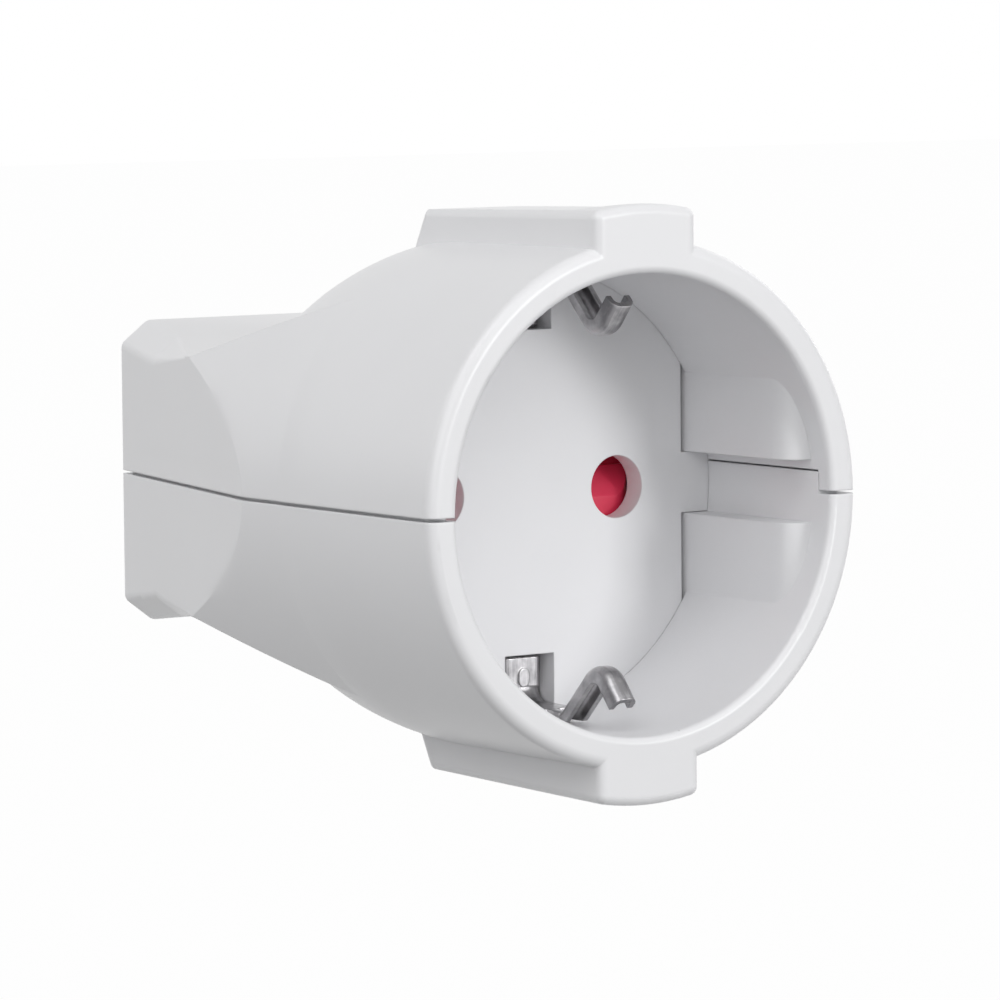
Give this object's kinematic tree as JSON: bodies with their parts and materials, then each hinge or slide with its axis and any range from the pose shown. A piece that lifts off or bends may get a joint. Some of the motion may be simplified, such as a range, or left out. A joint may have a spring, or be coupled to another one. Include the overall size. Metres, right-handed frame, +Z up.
{
  "type": "schuko in-line socket",
  "caption": "White rewirable schuko coupling: round plug recess with side earth clips, pin holes behind a sliding shutter, grip wings and a waisted cord end.",
  "frame": {"origin": "centre of the plug recess's mouth, in the plane of the rim", "axes": "+X right seen from the mouth, +Y from the mouth to the cord end, +Z up; the housing parts at Z = 0"},
  "size_m": [0.0448, 0.0608, 0.0508],
  "materials": {
    "housing_white": "satin gloss",
    "insert_white": "fine matt",
    "shutter_red": "satin gloss",
    "plated_strip": "nickel plated",
    "contact_brass": "plain",
    "screw_steel": "zinc plated"
  },
  "bodies": {
    "housing": {"upper_shell": "housing_white", "lower_shell": "housing_white", "face_plate": "insert_white", "contact_carrier": "insert_white", "cord_clamp_bar": "insert_white", "earth_strap": "plated_strip", "line_contact": "contact_brass", "neutral_contact": "contact_brass", "line_terminal": "contact_brass", "neutral_terminal": "contact_brass", "earth_terminal": "contact_brass", "line_contact_spring": "screw_steel", "neutral_contact_spring": "screw_steel", "shutter_spring": "screw_steel", "line_terminal_screw": "screw_steel", "neutral_terminal_screw": "screw_steel", "earth_terminal_screw": "screw_steel", "cord_clamp_screws": "screw_steel", "housing_screw": "screw_steel"},
    "shutter": {"shutter": "shutter_red"}
  },
  "joints": [
    {"name": "shutter_slide", "type": "slide", "parent": "housing", "child": "shutter", "axis": [0, 0, -1], "range_m": [0, 0.0059], "stiffness_N_per_m": 200, "springref_m": -0.003, "deforming": ["shutter_spring"]}
  ]
}
